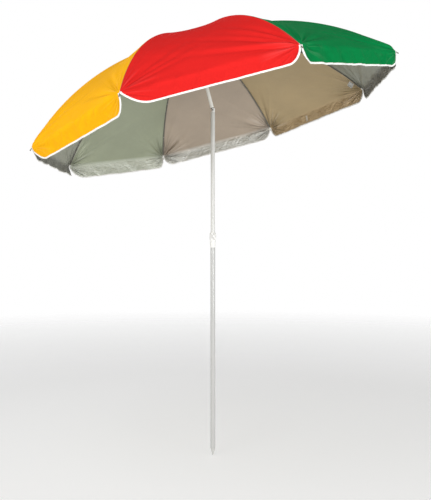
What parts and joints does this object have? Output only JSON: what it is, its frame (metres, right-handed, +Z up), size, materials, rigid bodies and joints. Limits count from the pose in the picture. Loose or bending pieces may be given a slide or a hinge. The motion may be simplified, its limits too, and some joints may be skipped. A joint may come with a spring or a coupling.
{
  "type": "beach umbrella",
  "caption": "Beach umbrella with a tilting head, folding ribs, a scalloped four-colour cloth canopy and a two-part clamped pole on a ground spike.",
  "frame": {"origin": "point of the ground spike, on the lower pole's axis", "axes": "+Z up the lower pole; the head leans 14.6 degrees towards -X at rest, about the tilt pin, which lies along Y"},
  "size_m": [1.4892, 1.5388, 1.9179],
  "materials": {
    "lacquered_steel": "satin warm white lacquer on steel tube",
    "grey_steel": "dark grey lacquer on steel wire",
    "zinc_steel": "zinc-plated",
    "white_plastic": "moulded, slightly satin",
    "grey_plastic": "moulded",
    "black_plastic": "moulded",
    "red_cloth": "woven polyester, silver-coated inside",
    "green_cloth": "woven polyester, silver-coated inside",
    "blue_cloth": "woven polyester, silver-coated inside",
    "yellow_cloth": "woven polyester, silver-coated inside",
    "white_webbing": "white woven tape"
  },
  "bodies": {
    "root": {"ground_spike": "grey_plastic", "lower_pole": "lacquered_steel", "clamp_collar": "white_plastic", "clamp_nut": "zinc_steel"},
    "clamp_screw": {"clamp_screw": "white_plastic"},
    "middle": {"middle_pole": "lacquered_steel", "middle_pole_bung": "black_plastic", "tilt_socket": "white_plastic", "tilt_pin": "zinc_steel", "tilt_spring": "zinc_steel"},
    "tilt_button": {"tilt_button": "black_plastic"},
    "head": {"tilt_knuckle": "black_plastic", "upper_pole": "lacquered_steel", "crown_hub": "white_plastic", "crown_wire": "zinc_steel", "finial_cap": "white_plastic"},
    "runner_catch": {"runner_catch": "zinc_steel"},
    "rib_1": {"rib_1": "grey_steel"},
    "stretcher_1": {"stretcher_1": "grey_steel"},
    "runner": {"runner": "white_plastic", "runner_wire": "zinc_steel"},
    "panel_1_a": {"panel_1_a": "red_cloth"},
    "panel_8_b": {"panel_8_b": "yellow_cloth"},
    "rib_2": {"rib_2": "grey_steel"},
    "stretcher_2": {"stretcher_2": "grey_steel"},
    "panel_2_a": {"panel_2_a": "green_cloth"},
    "panel_1_b": {"panel_1_b": "red_cloth"},
    "rib_3": {"rib_3": "grey_steel"},
    "stretcher_3": {"stretcher_3": "grey_steel"},
    "panel_3_a": {"panel_3_a": "blue_cloth"},
    "panel_2_b": {"panel_2_b": "green_cloth"},
    "rib_4": {"rib_4": "grey_steel", "care_label": "white_webbing"},
    "stretcher_4": {"stretcher_4": "grey_steel"},
    "panel_4_a": {"panel_4_a": "yellow_cloth"},
    "panel_3_b": {"panel_3_b": "blue_cloth"},
    "rib_5": {"rib_5": "grey_steel"},
    "stretcher_5": {"stretcher_5": "grey_steel"},
    "panel_5_a": {"panel_5_a": "red_cloth"},
    "panel_4_b": {"panel_4_b": "yellow_cloth", "closure_strap": "white_webbing"},
    "rib_6": {"rib_6": "grey_steel"},
    "stretcher_6": {"stretcher_6": "grey_steel"},
    "panel_6_a": {"panel_6_a": "green_cloth"},
    "panel_5_b": {"panel_5_b": "red_cloth"},
    "rib_7": {"rib_7": "grey_steel"},
    "stretcher_7": {"stretcher_7": "grey_steel"},
    "panel_7_a": {"panel_7_a": "blue_cloth"},
    "panel_6_b": {"panel_6_b": "green_cloth"},
    "rib_8": {"rib_8": "grey_steel"},
    "stretcher_8": {"stretcher_8": "grey_steel"},
    "panel_8_a": {"panel_8_a": "yellow_cloth"},
    "panel_7_b": {"panel_7_b": "blue_cloth"}
  },
  "joints": [
    {"name": "clamp_screw_turn", "type": "hinge", "parent": "root", "child": "clamp_screw", "pos_m": [0, 0, 0.99], "axis": [0.1736, -0.9848, 0], "range_deg": [0, 540]},
    {"name": "pole_height", "type": "slide", "parent": "root", "child": "middle", "axis": [0, 0, 1], "range_m": [-0.5, 0.12]},
    {"name": "tilt_button_press", "type": "slide", "parent": "middle", "child": "tilt_button", "axis": [0, 1, 0], "range_m": [0, 0.002], "stiffness_N_per_m": 1200, "deforming": ["tilt_spring"]},
    {"name": "head_tilt", "type": "hinge", "parent": "middle", "child": "head", "pos_m": [0, 0, 1.56], "axis": [0, -1, 0], "range_deg": [-14.6, 15.4]},
    {"name": "runner_catch_press", "type": "hinge", "parent": "head", "child": "runner_catch", "pos_m": [-0.06192, 0, 1.77591], "axis": [0, 1, 0], "range_deg": [0, 5], "stiffness_Nm_per_rad": 1},
    {"name": "canopy_fold", "type": "hinge", "parent": "head", "child": "rib_1", "pos_m": [-0.0886, -0.01571, 1.87432], "axis": [-0.894, 0.3827, -0.2329], "range_deg": [-53, 0], "deforming": ["panel_1_a", "panel_1_b", "panel_2_a", "panel_2_b", "panel_3_a", "panel_3_b", "panel_4_a", "panel_4_b", "panel_5_a", "panel_5_b", "panel_6_a", "panel_6_b", "panel_7_a", "panel_7_b", "panel_8_a", "panel_8_b", "runner_catch"]},
    {"name": "stretcher_1_swing", "type": "hinge", "parent": "rib_1", "child": "stretcher_1", "pos_m": [-0.14197, -0.16065, 1.84106], "axis": [-0.894, 0.3827, -0.2329], "range_deg": [0, 106]},
    {"name": "runner_lift", "type": "hinge", "parent": "stretcher_1", "child": "runner", "pos_m": [-0.07916, -0.01571, 1.83807], "axis": [-0.894, 0.3827, -0.2329], "range_deg": [-53, 0]},
    {"name": "panel_1_a_fold", "type": "hinge", "parent": "rib_1", "child": "panel_1_a", "pos_m": [-0.0886, -0.01571, 1.87432], "axis": [0.2803, 0.8811, -0.3809], "range_deg": [0, 19.99]},
    {"name": "panel_8_b_fold", "type": "hinge", "parent": "rib_1", "child": "panel_8_b", "pos_m": [-0.0886, -0.01571, 1.87432], "axis": [-0.5937, -0.7469, 0.2993], "range_deg": [0, 19.99]},
    {"name": "rib_2_fold", "type": "hinge", "parent": "head", "child": "rib_2", "pos_m": [-0.07601, -0.01571, 1.8776], "axis": [-0.894, -0.3827, -0.2329], "range_deg": [-53, 0]},
    {"name": "stretcher_2_swing", "type": "hinge", "parent": "rib_2", "child": "stretcher_2", "pos_m": [-0.01319, -0.16065, 1.87461], "axis": [-0.894, -0.3827, -0.2329], "range_deg": [0, 106]},
    {"name": "panel_2_a_fold", "type": "hinge", "parent": "rib_2", "child": "panel_2_a", "pos_m": [-0.07601, -0.01571, 1.8776], "axis": [-0.3722, 0.7469, -0.5509], "range_deg": [0, 19.99]},
    {"name": "panel_1_b_fold", "type": "hinge", "parent": "rib_2", "child": "panel_1_b", "pos_m": [-0.07601, -0.01571, 1.8776], "axis": [0.0589, -0.8811, 0.4693], "range_deg": [0, 19.99]},
    {"name": "rib_3_fold", "type": "hinge", "parent": "head", "child": "rib_3", "pos_m": [-0.0671, -0.00651, 1.87992], "axis": [-0.3703, -0.9239, -0.0965], "range_deg": [-53, 0]},
    {"name": "stretcher_3_swing", "type": "hinge", "parent": "rib_3", "child": "stretcher_3", "pos_m": [0.07788, -0.06654, 1.89833], "axis": [-0.3703, -0.9239, -0.0965], "range_deg": [0, 106]},
    {"name": "panel_3_a_fold", "type": "hinge", "parent": "rib_3", "child": "panel_3_a", "pos_m": [-0.0671, -0.00651, 1.87992], "axis": [-0.7419, 0.1753, -0.6472], "range_deg": [0, 19.99]},
    {"name": "panel_2_b_fold", "type": "hinge", "parent": "rib_3", "child": "panel_2_b", "pos_m": [-0.0671, -0.00651, 1.87992], "axis": [0.6121, -0.4991, 0.6134], "range_deg": [0, 19.99]},
    {"name": "rib_4_fold", "type": "hinge", "parent": "head", "child": "rib_4", "pos_m": [-0.0671, 0.00651, 1.87992], "axis": [0.3703, -0.9239, 0.0965], "range_deg": [-53, 0]},
    {"name": "stretcher_4_swing", "type": "hinge", "parent": "rib_4", "child": "stretcher_4", "pos_m": [0.07788, 0.06654, 1.89833], "axis": [0.3703, -0.9239, 0.0965], "range_deg": [0, 106]},
    {"name": "panel_4_a_fold", "type": "hinge", "parent": "rib_4", "child": "panel_4_a", "pos_m": [-0.0671, 0.00651, 1.87992], "axis": [-0.6121, -0.4991, -0.6134], "range_deg": [0, 19.99]},
    {"name": "panel_3_b_fold", "type": "hinge", "parent": "rib_4", "child": "panel_3_b", "pos_m": [-0.0671, 0.00651, 1.87992], "axis": [0.7419, 0.1753, 0.6472], "range_deg": [0, 19.99]},
    {"name": "rib_5_fold", "type": "hinge", "parent": "head", "child": "rib_5", "pos_m": [-0.07601, 0.01571, 1.8776], "axis": [0.894, -0.3827, 0.2329], "range_deg": [-53, 0]},
    {"name": "stretcher_5_swing", "type": "hinge", "parent": "rib_5", "child": "stretcher_5", "pos_m": [-0.01319, 0.16065, 1.87461], "axis": [0.894, -0.3827, 0.2329], "range_deg": [0, 106]},
    {"name": "panel_5_a_fold", "type": "hinge", "parent": "rib_5", "child": "panel_5_a", "pos_m": [-0.07601, 0.01571, 1.8776], "axis": [-0.0589, -0.8811, -0.4693], "range_deg": [0, 19.99]},
    {"name": "panel_4_b_fold", "type": "hinge", "parent": "rib_5", "child": "panel_4_b", "pos_m": [-0.07601, 0.01571, 1.8776], "axis": [0.3722, 0.7469, 0.5509], "range_deg": [0, 19.99]},
    {"name": "rib_6_fold", "type": "hinge", "parent": "head", "child": "rib_6", "pos_m": [-0.0886, 0.01571, 1.87432], "axis": [0.894, 0.3827, 0.2329], "range_deg": [-53, 0]},
    {"name": "stretcher_6_swing", "type": "hinge", "parent": "rib_6", "child": "stretcher_6", "pos_m": [-0.14197, 0.16065, 1.84106], "axis": [0.894, 0.3827, 0.2329], "range_deg": [0, 106]},
    {"name": "panel_6_a_fold", "type": "hinge", "parent": "rib_6", "child": "panel_6_a", "pos_m": [-0.0886, 0.01571, 1.87432], "axis": [0.5937, -0.7469, -0.2993], "range_deg": [0, 19.99]},
    {"name": "panel_5_b_fold", "type": "hinge", "parent": "rib_6", "child": "panel_5_b", "pos_m": [-0.0886, 0.01571, 1.87432], "axis": [-0.2803, 0.8811, 0.3809], "range_deg": [0, 19.99]},
    {"name": "rib_7_fold", "type": "hinge", "parent": "head", "child": "rib_7", "pos_m": [-0.0975, 0.00651, 1.872], "axis": [0.3703, 0.9239, 0.0965], "range_deg": [-53, 0]},
    {"name": "stretcher_7_swing", "type": "hinge", "parent": "rib_7", "child": "stretcher_7", "pos_m": [-0.23304, 0.06654, 1.81734], "axis": [0.3703, 0.9239, 0.0965], "range_deg": [0, 106]},
    {"name": "panel_7_a_fold", "type": "hinge", "parent": "rib_7", "child": "panel_7_a", "pos_m": [-0.0975, 0.00651, 1.872], "axis": [0.9634, -0.1753, -0.203], "range_deg": [0, 19.99]},
    {"name": "panel_6_b_fold", "type": "hinge", "parent": "rib_7", "child": "panel_6_b", "pos_m": [-0.0975, 0.00651, 1.872], "axis": [-0.8336, 0.4991, 0.2368], "range_deg": [0, 19.99]},
    {"name": "rib_8_fold", "type": "hinge", "parent": "head", "child": "rib_8", "pos_m": [-0.0975, -0.00651, 1.872], "axis": [-0.3703, 0.9239, -0.0965], "range_deg": [-53, 0]},
    {"name": "stretcher_8_swing", "type": "hinge", "parent": "rib_8", "child": "stretcher_8", "pos_m": [-0.23304, -0.06654, 1.81734], "axis": [-0.3703, 0.9239, -0.0965], "range_deg": [0, 106]},
    {"name": "panel_8_a_fold", "type": "hinge", "parent": "rib_8", "child": "panel_8_a", "pos_m": [-0.0975, -0.00651, 1.872], "axis": [0.8336, 0.4991, -0.2368], "range_deg": [0, 19.99]},
    {"name": "panel_7_b_fold", "type": "hinge", "parent": "rib_8", "child": "panel_7_b", "pos_m": [-0.0975, -0.00651, 1.872], "axis": [-0.9634, -0.1753, 0.203], "range_deg": [0, 19.99]}
  ],
  "couplings": [
    {"joint": "stretcher_1_swing", "follows": "canopy_fold", "ratio": -2},
    {"joint": "runner_lift", "follows": "canopy_fold", "ratio": 1},
    {"joint": "panel_1_a_fold", "follows": "canopy_fold", "ratio": -0.37689},
    {"joint": "panel_8_b_fold", "follows": "canopy_fold", "ratio": -0.37689},
    {"joint": "rib_2_fold", "follows": "canopy_fold", "ratio": 1},
    {"joint": "stretcher_2_swing", "follows": "canopy_fold", "ratio": -2},
    {"joint": "panel_2_a_fold", "follows": "canopy_fold", "ratio": -0.37689},
    {"joint": "panel_1_b_fold", "follows": "canopy_fold", "ratio": -0.37689},
    {"joint": "rib_3_fold", "follows": "canopy_fold", "ratio": 1},
    {"joint": "stretcher_3_swing", "follows": "canopy_fold", "ratio": -2},
    {"joint": "panel_3_a_fold", "follows": "canopy_fold", "ratio": -0.37689},
    {"joint": "panel_2_b_fold", "follows": "canopy_fold", "ratio": -0.37689},
    {"joint": "rib_4_fold", "follows": "canopy_fold", "ratio": 1},
    {"joint": "stretcher_4_swing", "follows": "canopy_fold", "ratio": -2},
    {"joint": "panel_4_a_fold", "follows": "canopy_fold", "ratio": -0.37689},
    {"joint": "panel_3_b_fold", "follows": "canopy_fold", "ratio": -0.37689},
    {"joint": "rib_5_fold", "follows": "canopy_fold", "ratio": 1},
    {"joint": "stretcher_5_swing", "follows": "canopy_fold", "ratio": -2},
    {"joint": "panel_5_a_fold", "follows": "canopy_fold", "ratio": -0.37689},
    {"joint": "panel_4_b_fold", "follows": "canopy_fold", "ratio": -0.37689},
    {"joint": "rib_6_fold", "follows": "canopy_fold", "ratio": 1},
    {"joint": "stretcher_6_swing", "follows": "canopy_fold", "ratio": -2},
    {"joint": "panel_6_a_fold", "follows": "canopy_fold", "ratio": -0.37689},
    {"joint": "panel_5_b_fold", "follows": "canopy_fold", "ratio": -0.37689},
    {"joint": "rib_7_fold", "follows": "canopy_fold", "ratio": 1},
    {"joint": "stretcher_7_swing", "follows": "canopy_fold", "ratio": -2},
    {"joint": "panel_7_a_fold", "follows": "canopy_fold", "ratio": -0.37689},
    {"joint": "panel_6_b_fold", "follows": "canopy_fold", "ratio": -0.37689},
    {"joint": "rib_8_fold", "follows": "canopy_fold", "ratio": 1},
    {"joint": "stretcher_8_swing", "follows": "canopy_fold", "ratio": -2},
    {"joint": "panel_8_a_fold", "follows": "canopy_fold", "ratio": -0.37689},
    {"joint": "panel_7_b_fold", "follows": "canopy_fold", "ratio": -0.37689}
  ]
}
